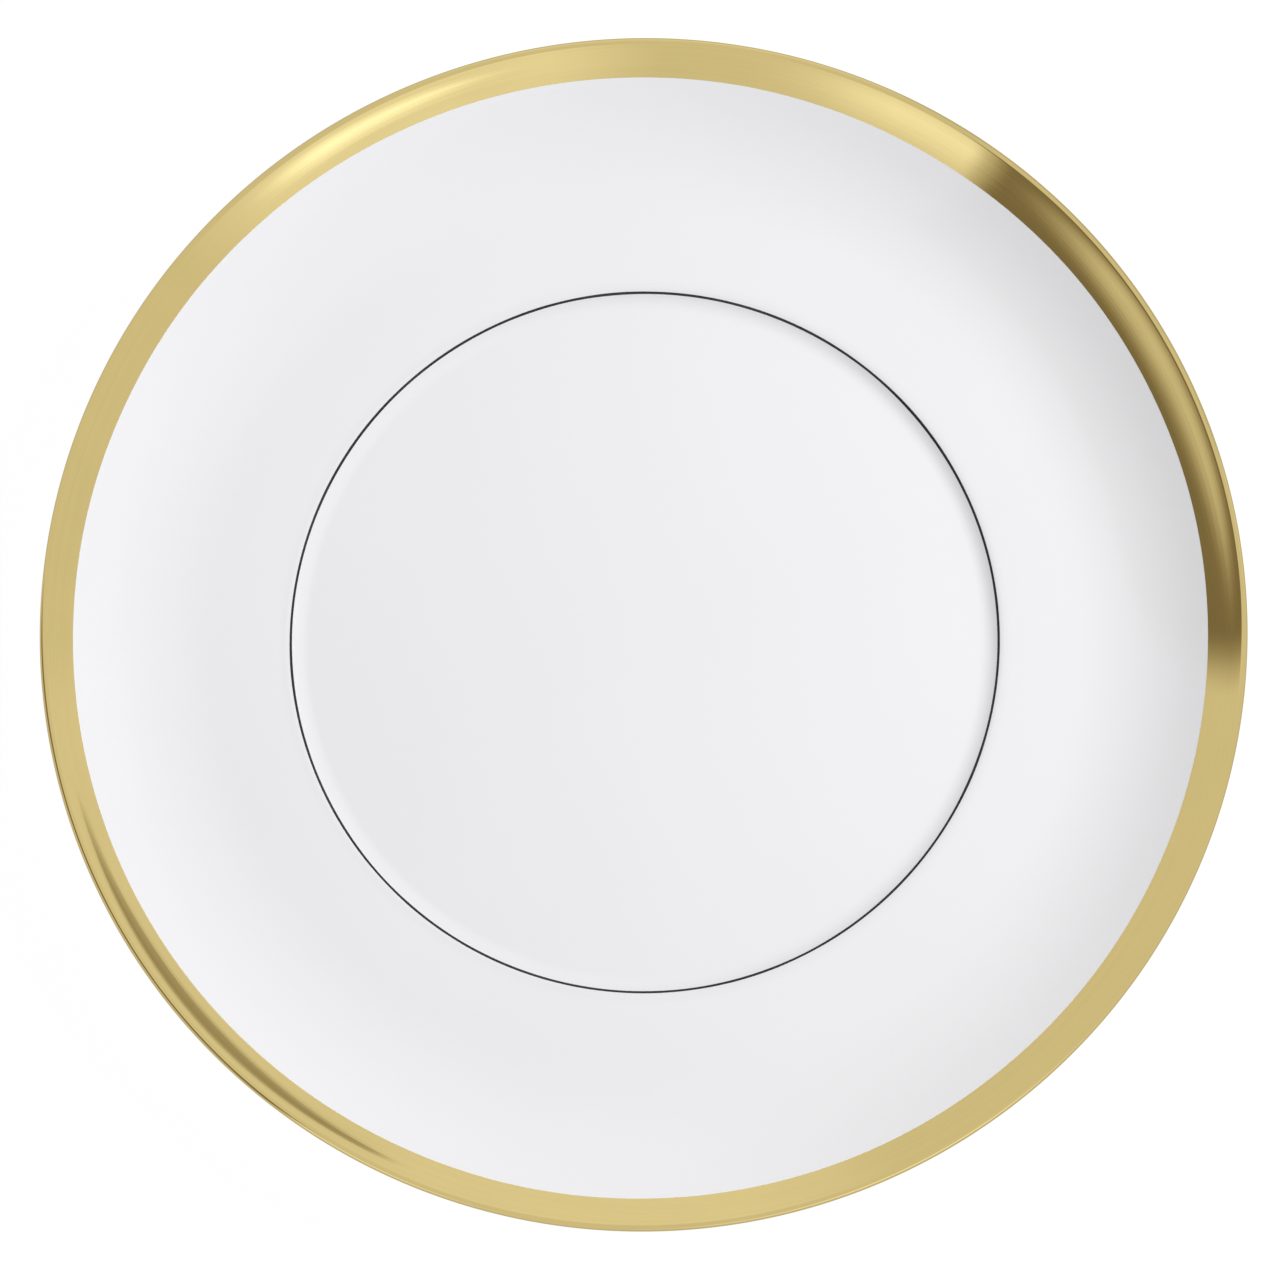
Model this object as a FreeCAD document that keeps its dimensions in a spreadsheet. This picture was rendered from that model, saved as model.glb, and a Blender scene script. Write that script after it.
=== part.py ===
import FreeCAD, Part
import math
import os
import Sketcher

# A china dinner plate, in millimetres. The origin is the centre of the foot's
# tread, z is up, and every piece is turned about the z axis.
#
# The pieces, from the inside out:
#   porcelain_body   the fired body with its foot ring
#   outer_glaze      the glaze over the face, round the lip and down to the foot
#   foot_well_glaze  the glaze inside the foot ring
#   gold_rim_band    the gilding on the last of the face and round the lip
#   well_line        the black enamel line round the edge of the well
#
# Heights and radii in the sheet are those of the finished, glazed surface. The
# body's surface lies one glaze thickness below it.

SHEET_NAME = "dims"

DIMENSIONS = [
    ("plate_radius", 135.0, "outermost radius, on the gilded lip"),
    ("well_floor_height", 6.9, "the flat the food sits on"),
    ("well_floor_radius", 75.5, "edge of that flat"),
    ("verge_hollow_radius", 7.1, "hollow at the foot of the step round the well"),
    ("verge_slope", 30.5, "degrees, the steepest the step gets"),
    ("verge_round_radius", 4.0, "rounding at the top of the step"),
    ("shelf_slope", 3.5, "degrees, the shelf between the step and the coupe"),
    ("coupe_inset", 41.1, "from the plate's edge in to the coupe curve's centre"),
    ("coupe_radius", 58.5, "upward curve of the face"),
    ("coupe_slope", 29.0, "degrees, where that curve ends"),
    ("rim_radius", 113.0, "gentler curve from there on"),
    ("rim_slope", 34.5, "degrees, the steepest the rim gets"),
    ("roll_radius", 80.0, "easing over from there to the lip"),
    ("lip_radius", 1.0, "roundness of the lip, gilding included"),
    ("back_slope", 36.5, "degrees, the back just inside the lip"),
    ("back_radius", 72.0, "upward curve of the back"),
    ("back_flat_height", 4.0, "the back just outside the foot"),
    ("well_back_height", 2.6, "the back inside the foot"),
    ("foot_mid_radius", 79.5, "middle of the tread"),
    ("tread_width", 2.0, "flat, bare tread"),
    ("tread_round_radius", 0.8, "rounding at both edges of the tread"),
    ("foot_draft", 12.0, "degrees, taper of the foot's two sides"),
    ("foot_fillet_radius", 1.6, "where the foot meets the back"),
    ("glaze_thickness", 0.25, "glaze, everywhere it lies"),
    ("glaze_stop_height", 1.0, "where the glaze ends on the foot"),
    ("gilding_thickness", 0.15, "gilding, thicker than the real film"),
    ("band_width", 8.0, "gilding seen from above, lip included"),
    ("line_outset", 4.0, "from the edge of the flat out to the line's middle"),
    ("line_width", 0.6, "enamel line"),
    ("line_thickness", 0.15, "enamel line, thicker than the real one"),
]

SIZE = {name: value for name, value, _ in DIMENSIONS}

START = 1
END = 2
CENTRE = 3
ORIGIN = (-1, 1)
RADIUS_AXIS = -1
HEIGHT_AXIS = -2

REVOLUTION_DEGREES = 360.0
SECTION_NORMAL = FreeCAD.Vector(0, 0, 1)


def make_sheet(doc):
    sheet = doc.addObject("Spreadsheet::Sheet", SHEET_NAME)
    for row, (name, value, note) in enumerate(DIMENSIONS, start=1):
        sheet.set("A%d" % row, name)
        sheet.set("B%d" % row, repr(value))
        sheet.set("C%d" % row, note)
        sheet.setAlias("B%d" % row, name)
    return sheet


def along(angle, length=1.0):
    """The step (radius, height) of a length at an angle in degrees."""
    turn = math.radians(angle)
    return length * math.cos(turn), length * math.sin(turn)


def moved(point, step):
    return point[0] + step[0], point[1] + step[1]


def curve_centre(line_point, slope, radius, level):
    """Centre of a curve resting on a level and touching a line above it.

    The line passes through line_point and rises outwards at the slope.
    """
    turn = math.radians(slope)
    height = level + radius
    drop = (height - line_point[1]) * math.cos(turn)
    return line_point[0] - (radius - drop) / math.sin(turn), height


# Centres of the face's curves, from the well outwards. They are the same for the
# body, the glaze and the gilding, whose surfaces are concentric. A slope turned a
# quarter back gives the way from a hollow curve's centre to its surface, and
# turned a quarter forward the way from a rounded one's.

def hollow_centre():
    return (SIZE["well_floor_radius"],
            SIZE["well_floor_height"] + SIZE["verge_hollow_radius"])


def round_centre():
    radii = SIZE["verge_hollow_radius"] + SIZE["verge_round_radius"]
    return moved(hollow_centre(), along(SIZE["verge_slope"] - 90, radii))


def shelf_start():
    return moved(round_centre(),
                 along(SIZE["shelf_slope"] + 90, SIZE["verge_round_radius"]))


def coupe_centre():
    start = shelf_start()
    across = SIZE["plate_radius"] - SIZE["coupe_inset"]
    reach = along(SIZE["shelf_slope"] - 90, SIZE["coupe_radius"])
    shelf_run = across + reach[0] - start[0]
    rise = shelf_run * math.tan(math.radians(SIZE["shelf_slope"]))
    return across, start[1] + rise - reach[1]


def rim_centre():
    growth = SIZE["rim_radius"] - SIZE["coupe_radius"]
    return moved(coupe_centre(), along(SIZE["coupe_slope"] + 90, growth))


def roll_centre():
    radii = SIZE["rim_radius"] + SIZE["roll_radius"]
    return moved(rim_centre(), along(SIZE["rim_slope"] - 90, radii))


def glazed_lip_radius():
    return SIZE["lip_radius"] - SIZE["gilding_thickness"]


def lip_slope():
    """The face's slope where it runs into the lip, in degrees."""
    run = roll_centre()[0] - SIZE["plate_radius"] + SIZE["lip_radius"]
    return math.degrees(math.asin(run / (SIZE["roll_radius"] - glazed_lip_radius())))


def lip_centre():
    shrink = SIZE["roll_radius"] - glazed_lip_radius()
    return moved(roll_centre(), along(lip_slope() + 90, shrink))


def back_centre():
    touch = moved(lip_centre(), along(SIZE["back_slope"] - 90, glazed_lip_radius()))
    return curve_centre(touch, SIZE["back_slope"], SIZE["back_radius"],
                        SIZE["back_flat_height"])


def tread_centre(side):
    """Centre of the rounding on the outer (+1) or inner (-1) tread edge."""
    return (SIZE["foot_mid_radius"] + side * SIZE["tread_width"] / 2,
            SIZE["tread_round_radius"])


def wall_angle(side):
    """The way the foot's outer (+1) or inner (-1) side faces, in degrees."""
    if side > 0:
        return -SIZE["foot_draft"]
    return SIZE["foot_draft"] - 180


def fillet_centre(side, level):
    """Centre of the hollow where the foot meets the back at this level."""
    draft = math.radians(SIZE["foot_draft"])
    height = level - SIZE["foot_fillet_radius"]
    reach = (SIZE["tread_round_radius"] + SIZE["glaze_thickness"]
             + SIZE["foot_fillet_radius"])
    rise = height - SIZE["tread_round_radius"]
    spread = (reach + rise * math.sin(draft)) / math.cos(draft)
    return tread_centre(side)[0] + side * spread, height


class Profile:
    """A section drawn in the plane of the radius and the height.

    Edges are drawn in order round the outline. Each is known by the number the
    sketch gives it, and begins[] and ends[] say which of its two points the
    outline comes to first and last.
    """

    def __init__(self, doc, name):
        self.body = doc.addObject("PartDesign::Body", name)
        self.body.Label = name
        self.body.Placement = FreeCAD.Placement()
        self.sketch = self.body.newObject("Sketcher::SketchObject", name + "_section")
        self.sketch.AttachmentSupport = [(section_plane(self.body), "")]
        self.sketch.MapMode = "FlatFace"
        self.begins = {}
        self.ends = {}

    def line(self, start, end, guide=False):
        edge = Part.LineSegment(FreeCAD.Vector(*start, 0), FreeCAD.Vector(*end, 0))
        number = self.sketch.addGeometry(edge, guide)
        self.begins[number] = START
        self.ends[number] = END
        return number

    def arc(self, centre, radius, from_angle, to_angle, guide=False):
        circle = Part.Circle(FreeCAD.Vector(*centre, 0), SECTION_NORMAL, radius)
        low = math.radians(min(from_angle, to_angle))
        high = math.radians(max(from_angle, to_angle))
        number = self.sketch.addGeometry(Part.ArcOfCircle(circle, low, high), guide)
        turns_left = to_angle > from_angle
        self.begins[number] = START if turns_left else END
        self.ends[number] = END if turns_left else START
        return number

    def rule(self, *parts):
        return self.sketch.addConstraint(Sketcher.Constraint(*parts))

    def smooth(self, *edges):
        """Join edges, each running on from the last without a corner."""
        for first, second in zip(edges, edges[1:]):
            self.rule("Tangent", first, self.ends[first], second, self.begins[second])

    def corner(self, *edges):
        for first, second in zip(edges, edges[1:]):
            self.rule("Coincident", first, self.ends[first], second, self.begins[second])

    def concentric(self, first, second):
        self.rule("Coincident", first, CENTRE, second, CENTRE)

    def spoke(self, edge, name, expression):
        """Set the slope where an arc ends, by a guide line from its centre."""
        centre = self.sketch.getPoint(edge, CENTRE)
        end = self.sketch.getPoint(edge, self.ends[edge])
        guide = self.line((centre.x, centre.y), (end.x, end.y), guide=True)
        self.rule("Coincident", guide, START, edge, CENTRE)
        self.rule("Coincident", guide, END, edge, self.ends[edge])
        self.angle(guide, name, expression)

    def bind(self, number, name, expression):
        self.sketch.renameConstraint(number, name)
        self.sketch.setExpression("Constraints." + name, expression)

    def radius(self, edge, name, expression):
        value = self.sketch.Geometry[edge].Radius
        self.bind(self.rule("Radius", edge, value), name, expression)

    def angle(self, edge, name, expression):
        line = self.sketch.Geometry[edge]
        run = line.EndPoint - line.StartPoint
        value = math.atan2(run.y, run.x)
        self.bind(self.rule("Angle", edge, value), name, expression)

    def across(self, edge, point, name, expression):
        """Set a point's radius."""
        value = self.sketch.getPoint(edge, point).x
        number = self.rule("DistanceX", *ORIGIN, edge, point, value)
        self.bind(number, name, expression)

    def up(self, edge, point, name, expression):
        """Set a point's height."""
        value = self.sketch.getPoint(edge, point).y
        number = self.rule("DistanceY", *ORIGIN, edge, point, value)
        self.bind(number, name, expression)

    def level(self, edge):
        self.rule("Horizontal", edge)

    def upright(self, edge):
        self.rule("Vertical", edge)

    def on_axis(self, edge, point):
        self.rule("PointOnObject", edge, point, HEIGHT_AXIS)

    def revolve(self, label):
        turned = self.body.newObject("PartDesign::Revolution", label + "_turned")
        turned.Profile = self.sketch
        turned.ReferenceAxis = (self.sketch, ["V_Axis"])
        turned.Angle = REVOLUTION_DEGREES
        self.sketch.Visibility = False
        return self.body


def section_plane(body):
    for feature in body.Origin.OriginFeatures:
        if feature.Role == "XZ_Plane":
            return feature
    raise RuntimeError("the body has no XZ plane")


def depth_term(depth, sign):
    """The part of an expression that carries a surface below the glaze."""
    if depth == 0:
        return ""
    return " %s dims.glaze_thickness" % sign


def draw_verge(profile, depth, tag, guide=False):
    """Draw the well's floor, the step round it and the shelf, from the axis out.

    The depth is 0 for the surface of the glaze and the glaze's thickness for
    the surface of the body.
    """
    deeper = depth_term(depth, "-")
    wider = depth_term(depth, "+")
    slope = SIZE["verge_slope"]
    shelf_slope = SIZE["shelf_slope"]
    floor_level = SIZE["well_floor_height"] - depth
    hollow_radius = SIZE["verge_hollow_radius"] + depth
    round_radius = SIZE["verge_round_radius"] - depth
    shelf_from = moved(round_centre(), along(shelf_slope + 90, round_radius))
    shelf_to = moved(coupe_centre(),
                     along(shelf_slope - 90, SIZE["coupe_radius"] + depth))

    floor = profile.line((0, floor_level), (hollow_centre()[0], floor_level), guide)
    hollow = profile.arc(hollow_centre(), hollow_radius, -90, slope - 90, guide)
    round_edge = profile.arc(round_centre(), round_radius,
                             slope + 90, shelf_slope + 90, guide)
    shelf = profile.line(shelf_from, shelf_to, guide)

    profile.smooth(floor, hollow, round_edge, shelf)
    profile.level(floor)
    profile.on_axis(floor, START)
    profile.up(floor, START, tag + "_floor_height", "dims.well_floor_height" + deeper)
    profile.across(hollow, CENTRE, tag + "_floor_radius", "dims.well_floor_radius")
    profile.radius(hollow, tag + "_hollow_radius", "dims.verge_hollow_radius" + wider)
    profile.spoke(hollow, tag + "_verge_slope", "dims.verge_slope * 1 deg - 90 deg")
    profile.radius(round_edge, tag + "_round_radius",
                   "dims.verge_round_radius" + deeper)
    profile.angle(shelf, tag + "_shelf_slope", "dims.shelf_slope * 1 deg")
    return floor, round_edge, shelf


def draw_rim(profile, depth, tag, shelf, band_from=None):
    """Draw the coupe, the rim and the lip, on from the shelf.

    With band_from, the rim is cut in two at that radius, and everything before
    the cut is only a guide. The lip's far end is left free.
    """
    guide = band_from is not None
    wider = depth_term(depth, "+")
    deeper = depth_term(depth, "-")
    coupe_turn = SIZE["coupe_slope"] - 90
    rim_turn = SIZE["rim_slope"] - 90
    rim_radius = SIZE["rim_radius"] + depth
    cut_turn = rim_turn
    if guide:
        cut_reach = band_from - rim_centre()[0]
        cut_turn = -math.degrees(math.acos(cut_reach / rim_radius))

    coupe = profile.arc(coupe_centre(), SIZE["coupe_radius"] + depth,
                        SIZE["shelf_slope"] - 90, coupe_turn, guide)
    rim = profile.arc(rim_centre(), rim_radius, coupe_turn, cut_turn, guide)
    band = rim
    if guide:
        band = profile.arc(rim_centre(), rim_radius, cut_turn, rim_turn)
        profile.corner(rim, band)
        profile.concentric(rim, band)
    roll = profile.arc(roll_centre(), SIZE["roll_radius"] - depth,
                       SIZE["rim_slope"] + 90, lip_slope() + 90)
    lip = profile.arc(lip_centre(), glazed_lip_radius() - depth,
                      lip_slope() + 90, SIZE["back_slope"] - 90)

    profile.smooth(shelf, coupe, rim)
    profile.smooth(band, roll, lip)
    profile.across(coupe, CENTRE, tag + "_coupe_centre",
                   "dims.plate_radius - dims.coupe_inset")
    profile.radius(coupe, tag + "_coupe_radius", "dims.coupe_radius" + wider)
    profile.spoke(coupe, tag + "_coupe_slope", "dims.coupe_slope * 1 deg - 90 deg")
    profile.radius(rim, tag + "_rim_radius", "dims.rim_radius" + wider)
    profile.spoke(band, tag + "_rim_slope", "dims.rim_slope * 1 deg - 90 deg")
    profile.radius(roll, tag + "_roll_radius", "dims.roll_radius" + deeper)
    profile.radius(lip, tag + "_lip_radius",
                   "dims.lip_radius - dims.gilding_thickness" + deeper)
    profile.across(lip, CENTRE, tag + "_lip_centre",
                   "dims.plate_radius - dims.lip_radius")
    return band, roll, lip


def draw_back(profile, depth, tag, lip, wall_foot):
    """Draw the back, on from the lip and down the foot's outer side.

    The foot's side is drawn down to wall_foot and left free there.
    """
    deeper = depth_term(depth, "-")
    wider = depth_term(depth, "+")
    facing = SIZE["back_slope"] - 90
    back_radius = SIZE["back_radius"] - depth
    back_level = SIZE["back_flat_height"] + depth
    fillet_at = fillet_centre(1, SIZE["back_flat_height"])
    fillet_round = SIZE["foot_fillet_radius"] + depth
    fillet_end = wall_angle(1) + 180
    lip_end = moved(lip_centre(), along(facing, glazed_lip_radius() - depth))

    rim = profile.line(lip_end, moved(back_centre(), along(facing, back_radius)))
    curve = profile.arc(back_centre(), back_radius, facing, -90)
    flat = profile.line((back_centre()[0], back_level), (fillet_at[0], back_level))
    fillet = profile.arc(fillet_at, fillet_round, 90, fillet_end)
    wall = profile.line(moved(fillet_at, along(fillet_end, fillet_round)), wall_foot)

    profile.smooth(lip, rim, curve, flat, fillet, wall)
    profile.level(flat)
    profile.angle(rim, tag + "_back_slope", "dims.back_slope * 1 deg - 180 deg")
    profile.radius(curve, tag + "_back_radius", "dims.back_radius" + deeper)
    profile.up(flat, START, tag + "_back_height", "dims.back_flat_height" + wider)
    profile.radius(fillet, tag + "_fillet_radius", "dims.foot_fillet_radius" + wider)
    profile.angle(wall, tag + "_foot_side", "-90 deg - dims.foot_draft * 1 deg")
    return wall


def draw_outside(profile, depth, tag, wall_foot):
    """Draw a surface from the middle of the face to the foot's outer side."""
    floor, _, shelf = draw_verge(profile, depth, tag)
    _, _, lip = draw_rim(profile, depth, tag, shelf)
    return floor, draw_back(profile, depth, tag, lip, wall_foot)


def tread_reach(depth):
    """How far a foot side at this depth lies from the tread rounding's centre."""
    return SIZE["tread_round_radius"] + SIZE["glaze_thickness"] - depth


def wall_point(side, depth, height):
    """The point of the foot's side at a height, on the glaze or on the body."""
    touch = moved(tread_centre(side), along(wall_angle(side), tread_reach(depth)))
    drift = (height - touch[1]) * math.tan(math.radians(SIZE["foot_draft"]))
    return touch[0] + side * drift, height


def tread_touch(side):
    """Where the foot's bare side runs into the rounding of the tread."""
    return moved(tread_centre(side),
                 along(wall_angle(side), SIZE["tread_round_radius"]))


def make_body(doc):
    profile = Profile(doc, "porcelain_body")
    glaze = SIZE["glaze_thickness"]
    tread_round = SIZE["tread_round_radius"]
    inner_fillet = fillet_centre(-1, SIZE["well_back_height"])
    under_level = SIZE["well_back_height"] + glaze
    fillet_round = SIZE["foot_fillet_radius"] + glaze
    fillet_start = wall_angle(-1) + 180

    floor, wall = draw_outside(profile, glaze, "body", tread_touch(1))
    outer_round = profile.arc(tread_centre(1), tread_round, wall_angle(1), -90)
    tread = profile.line((tread_centre(1)[0], 0), (tread_centre(-1)[0], 0))
    inner_round = profile.arc(tread_centre(-1), tread_round, -90, wall_angle(-1))
    inner_wall = profile.line(
        tread_touch(-1), moved(inner_fillet, along(fillet_start, fillet_round)))
    inner_hollow = profile.arc(inner_fillet, fillet_round, fillet_start, 90)
    under = profile.line((inner_fillet[0], under_level), (0, under_level))
    axis = profile.line((0, under_level), (0, SIZE["well_floor_height"] - glaze))

    profile.smooth(wall, outer_round, tread, inner_round, inner_wall, inner_hollow,
                   under)
    profile.corner(under, axis, floor)
    profile.level(tread)
    profile.level(under)
    profile.rule("PointOnObject", tread, START, RADIUS_AXIS)
    profile.on_axis(under, END)
    profile.radius(outer_round, "outer_tread_round", "dims.tread_round_radius")
    profile.radius(inner_round, "inner_tread_round", "dims.tread_round_radius")
    profile.across(outer_round, CENTRE, "tread_outer_radius",
                   "dims.foot_mid_radius + dims.tread_width / 2")
    profile.across(inner_round, CENTRE, "tread_inner_radius",
                   "dims.foot_mid_radius - dims.tread_width / 2")
    profile.angle(inner_wall, "inner_foot_side", "90 deg + dims.foot_draft * 1 deg")
    profile.radius(inner_hollow, "inner_fillet_radius",
                   "dims.foot_fillet_radius + dims.glaze_thickness")
    profile.up(under, START, "well_back_height",
               "dims.well_back_height + dims.glaze_thickness")
    return profile.revolve("porcelain_body")


def make_outer_glaze(doc):
    profile = Profile(doc, "outer_glaze")
    glaze = SIZE["glaze_thickness"]
    stop = SIZE["glaze_stop_height"]
    floor_level = SIZE["well_floor_height"]
    glazed_stop = wall_point(1, 0, stop)
    bare_stop = wall_point(1, glaze, stop)

    floor, wall = draw_outside(profile, 0, "glaze", glazed_stop)
    body_floor, body_wall = draw_outside(profile, glaze, "body", bare_stop)
    edge = profile.line(glazed_stop, bare_stop)
    axis = profile.line((0, floor_level - glaze), (0, floor_level))

    profile.corner(wall, edge)
    profile.rule("Coincident", edge, END, body_wall, END)
    profile.rule("Coincident", axis, START, body_floor, START)
    profile.rule("Coincident", axis, END, floor, START)
    profile.level(edge)
    profile.up(edge, START, "glaze_stop_height", "dims.glaze_stop_height")
    hold_wall_to_tread(profile, wall, 1, 0, "glaze")
    hold_wall_to_tread(profile, body_wall, 1, glaze, "body")
    return profile.revolve("outer_glaze")


def hold_wall_to_tread(profile, wall, side, depth, tag):
    """Set how far a foot side lies from the tread's rounding.

    A construction circle round the rounding's centre touches the side.
    """
    circle = Part.Circle(FreeCAD.Vector(*tread_centre(side), 0), SECTION_NORMAL,
                         tread_reach(depth))
    guide = profile.sketch.addGeometry(circle, True)
    sign = "+" if side > 0 else "-"
    reach = "dims.tread_round_radius"
    if depth == 0:
        reach += " + dims.glaze_thickness"
    profile.radius(guide, tag + "_guide_radius", reach)
    profile.across(guide, CENTRE, tag + "_guide_across",
                   "dims.foot_mid_radius %s dims.tread_width / 2" % sign)
    profile.up(guide, CENTRE, tag + "_guide_height", "dims.tread_round_radius")
    profile.rule("Tangent", wall, guide)


def draw_foot_well(profile, depth, tag):
    """Draw a surface inside the foot, from the axis out and down to its edge."""
    wider = depth_term(depth, "+")
    fillet = fillet_centre(-1, SIZE["well_back_height"])
    fillet_round = SIZE["foot_fillet_radius"] + depth
    fillet_end = wall_angle(-1) + 180
    level = SIZE["well_back_height"] + depth
    foot = wall_point(-1, depth, SIZE["glaze_stop_height"])

    under = profile.line((0, level), (fillet[0], level))
    hollow = profile.arc(fillet, fillet_round, 90, fillet_end)
    wall = profile.line(moved(fillet, along(fillet_end, fillet_round)), foot)

    profile.smooth(under, hollow, wall)
    profile.level(under)
    profile.on_axis(under, START)
    profile.up(under, START, tag + "_height", "dims.well_back_height" + wider)
    profile.radius(hollow, tag + "_fillet_radius", "dims.foot_fillet_radius" + wider)
    profile.angle(wall, tag + "_foot_side", "dims.foot_draft * 1 deg - 90 deg")
    hold_wall_to_tread(profile, wall, -1, depth, tag)
    return under, wall


def make_foot_well_glaze(doc):
    profile = Profile(doc, "foot_well_glaze")
    glaze = SIZE["glaze_thickness"]
    stop = SIZE["glaze_stop_height"]
    level = SIZE["well_back_height"]

    under, wall = draw_foot_well(profile, 0, "glaze")
    body_under, body_wall = draw_foot_well(profile, glaze, "body")
    edge = profile.line(wall_point(-1, 0, stop), wall_point(-1, glaze, stop))
    axis = profile.line((0, level), (0, level + glaze))

    profile.corner(wall, edge)
    profile.rule("Coincident", edge, END, body_wall, END)
    profile.rule("Coincident", axis, START, under, START)
    profile.rule("Coincident", axis, END, body_under, START)
    profile.level(edge)
    profile.up(edge, START, "glaze_stop_height", "dims.glaze_stop_height")
    return profile.revolve("foot_well_glaze")


def make_gold_rim_band(doc):
    """The gilding: over the rim from its inner edge, and round the lip."""
    profile = Profile(doc, "gold_rim_band")
    gilding = SIZE["gilding_thickness"]
    inner_edge = SIZE["plate_radius"] - SIZE["band_width"]
    rim_turn = SIZE["rim_slope"] - 90
    back_turn = SIZE["back_slope"] - 90
    top_radius = SIZE["rim_radius"] - gilding
    edge_turn = -math.acos((inner_edge - rim_centre()[0]) / top_radius)
    top_start = moved(rim_centre(), along(math.degrees(edge_turn), top_radius))
    under_end = moved(lip_centre(), along(back_turn, glazed_lip_radius()))

    _, _, shelf = draw_verge(profile, 0, "glaze", guide=True)
    band, roll, lip = draw_rim(profile, 0, "glaze", shelf, inner_edge)
    under_start = profile.sketch.getPoint(band, START)
    top_band = profile.arc(rim_centre(), top_radius, math.degrees(edge_turn), rim_turn)
    top_roll = profile.arc(roll_centre(), SIZE["roll_radius"] + gilding,
                           SIZE["rim_slope"] + 90, lip_slope() + 90)
    top_lip = profile.arc(lip_centre(), SIZE["lip_radius"], lip_slope() + 90, back_turn)
    front_edge = profile.line((under_start.x, under_start.y), top_start)
    back_edge = profile.line(
        under_end, moved(lip_centre(), along(back_turn, SIZE["lip_radius"])))

    profile.smooth(top_band, top_roll, top_lip)
    for top, under in ((top_band, band), (top_roll, roll), (top_lip, lip)):
        profile.concentric(top, under)
    profile.rule("Coincident", front_edge, START, band, START)
    profile.rule("Coincident", front_edge, END, top_band, START)
    profile.rule("Coincident", back_edge, START, lip, profile.ends[lip])
    profile.rule("Coincident", back_edge, END, top_lip, profile.ends[top_lip])
    profile.upright(front_edge)
    profile.radius(top_band, "top_rim_radius",
                   "dims.rim_radius - dims.gilding_thickness")
    profile.across(front_edge, START, "inner_edge_radius",
                   "dims.plate_radius - dims.band_width")
    profile.spoke(lip, "back_edge_facing", "dims.back_slope * 1 deg - 90 deg")
    profile.angle(back_edge, "back_edge_run", "dims.back_slope * 1 deg - 90 deg")
    return profile.revolve("gold_rim_band")


def make_well_line(doc):
    """The enamel line, lying on the rounding at the top of the verge."""
    profile = Profile(doc, "well_line")
    centre = round_centre()
    under = SIZE["verge_round_radius"]
    over = under + SIZE["line_thickness"]
    middle = SIZE["well_floor_radius"] + SIZE["line_outset"]
    near = middle - SIZE["line_width"] / 2
    far = middle + SIZE["line_width"] / 2

    def bearing(radius, across):
        return math.degrees(math.acos((across - centre[0]) / radius))

    def point(radius, across):
        return moved(centre, along(bearing(radius, across), radius))

    _, verge_round, shelf = draw_verge(profile, 0, "glaze", guide=True)
    top = profile.arc(centre, over, bearing(over, near), bearing(over, far))
    far_side = profile.line(point(over, far), point(under, far))
    bottom = profile.arc(centre, under, bearing(under, far), bearing(under, near))
    near_side = profile.line(point(under, near), point(over, near))

    profile.corner(top, far_side, bottom, near_side, top)
    profile.concentric(top, verge_round)
    profile.concentric(bottom, verge_round)
    profile.rule("Equal", bottom, verge_round)
    profile.upright(far_side)
    profile.upright(near_side)
    profile.radius(top, "top_radius", "dims.verge_round_radius + dims.line_thickness")
    profile.across(shelf, END, "shelf_end", "dims.plate_radius - dims.coupe_inset")
    profile.across(near_side, START, "near_radius",
                   "dims.well_floor_radius + dims.line_outset - dims.line_width / 2")
    profile.across(far_side, START, "far_radius",
                   "dims.well_floor_radius + dims.line_outset + dims.line_width / 2")
    return profile.revolve("well_line")


def check_document(doc):
    for item in doc.Objects:
        if "Invalid" in item.State or "Error" in item.State:
            raise RuntimeError("%s did not compute: %s" % (item.Name, item.State))


def check_sketches(doc):
    for item in doc.Objects:
        if item.TypeId != "Sketcher::SketchObject":
            continue
        if item.solve() != 0 or not item.FullyConstrained:
            raise RuntimeError("%s is not fully constrained" % item.Name)


def write_pieces(pieces):
    os.makedirs("parts", exist_ok=True)
    for piece in pieces:
        shape = piece.Shape
        if shape.isNull() or not shape.isValid() or len(shape.Solids) != 1:
            raise RuntimeError("%s is not one sound solid" % piece.Label)
        shape.exportStep("parts/%s.step" % piece.Label)
        box = shape.optimalBoundingBox(False, False)
        print("%s: %.2f across, z %.2f to %.2f, %.1f cubic mm"
              % (piece.Label, box.XLength, box.ZMin, box.ZMax, shape.Volume))


def main():
    doc = FreeCAD.newDocument("dinner_plate")
    make_sheet(doc)
    doc.recompute()
    pieces = [
        make_body(doc),
        make_outer_glaze(doc),
        make_foot_well_glaze(doc),
        make_gold_rim_band(doc),
        make_well_line(doc),
    ]
    doc.recompute()
    check_document(doc)
    check_sketches(doc)
    write_pieces(pieces)


main()
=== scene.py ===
import math

import bmesh
import bpy
from mathutils import Matrix, Vector, noise


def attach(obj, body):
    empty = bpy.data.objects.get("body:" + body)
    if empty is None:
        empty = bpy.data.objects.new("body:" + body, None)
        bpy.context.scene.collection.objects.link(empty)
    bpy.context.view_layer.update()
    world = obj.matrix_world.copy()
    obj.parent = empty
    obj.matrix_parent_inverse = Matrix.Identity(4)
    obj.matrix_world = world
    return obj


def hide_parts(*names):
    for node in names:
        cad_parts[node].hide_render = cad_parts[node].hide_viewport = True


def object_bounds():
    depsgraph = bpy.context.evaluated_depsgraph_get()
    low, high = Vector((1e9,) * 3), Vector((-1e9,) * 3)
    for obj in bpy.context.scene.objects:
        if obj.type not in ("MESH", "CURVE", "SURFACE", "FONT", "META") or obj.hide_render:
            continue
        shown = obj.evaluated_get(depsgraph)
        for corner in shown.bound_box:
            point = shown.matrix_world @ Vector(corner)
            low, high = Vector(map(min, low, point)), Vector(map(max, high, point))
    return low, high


# A gilded china dinner plate. Every visible coat of the plate is turned here from
# one section, much finer than the frame's own meshes, and stands for the frame's
# node of the same shape. Sizes in the section are in millimetres, objects in metres.

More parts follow.
